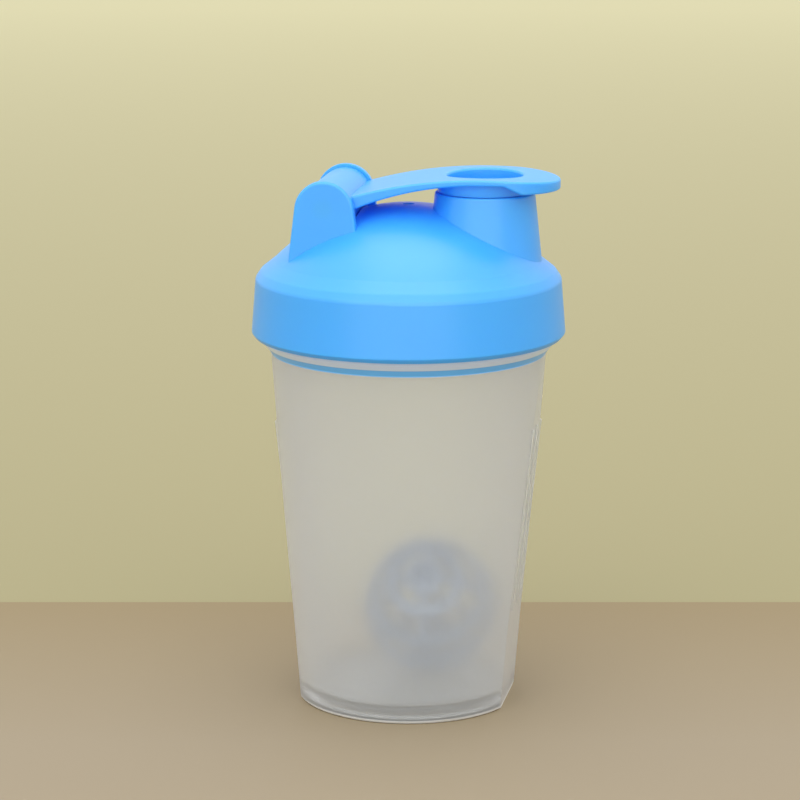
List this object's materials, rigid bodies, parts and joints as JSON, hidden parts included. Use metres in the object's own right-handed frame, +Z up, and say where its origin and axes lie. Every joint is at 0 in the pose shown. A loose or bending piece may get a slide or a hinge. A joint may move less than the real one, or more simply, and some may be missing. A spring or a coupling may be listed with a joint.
{
  "type": "protein shaker bottle",
  "caption": "Tapered translucent shaker cup with a domed blue screw lid, a flip cap hinged over its drinking spout, and a loose mixing ball inside.",
  "frame": {"origin": "on the cup's axis, in the plane of the foot ring that the bottle stands on", "axes": "+Z up along the cup's axis; +X along the flip lever, from the hinge to the spout"},
  "size_m": [0.095, 0.095, 0.1626],
  "materials": {
    "frosted_pp": "frosted",
    "blue_pp": "satin",
    "blue_pp_lever": "satin",
    "silicone": "matte",
    "ball_pp": "satin"
  },
  "bodies": {
    "cup": {"cup": "frosted_pp"},
    "seal": {"lid_gasket": "silicone"},
    "lid": {"lid": "blue_pp"},
    "lever": {"flip_lever": "blue_pp_lever"},
    "ball": {"mixing_ball": "ball_pp"}
  },
  "joints": [
    {"name": "lid_rise", "type": "slide", "parent": "cup", "child": "seal", "axis": [0, 0, 1], "range_m": [0, 0.0202]},
    {"name": "lid_turn", "type": "hinge", "parent": "seal", "child": "lid", "pos_m": [0, 0, 0.12], "axis": [0, 0, 1], "range_deg": [0, 720]},
    {"name": "lever_flip", "type": "hinge", "parent": "lid", "child": "lever", "pos_m": [-0.0223, 0, 0.15299], "axis": [0, -1, 0], "range_deg": [0, 195]},
    {"name": "ball_toss", "type": "slide", "parent": "cup", "child": "ball", "axis": [0, 0, 1], "range_m": [0, 0.1]}
  ],
  "couplings": [
    {"joint": "lid_rise", "follows": "lid_turn", "m_per_rad": 0.0015915}
  ]
}
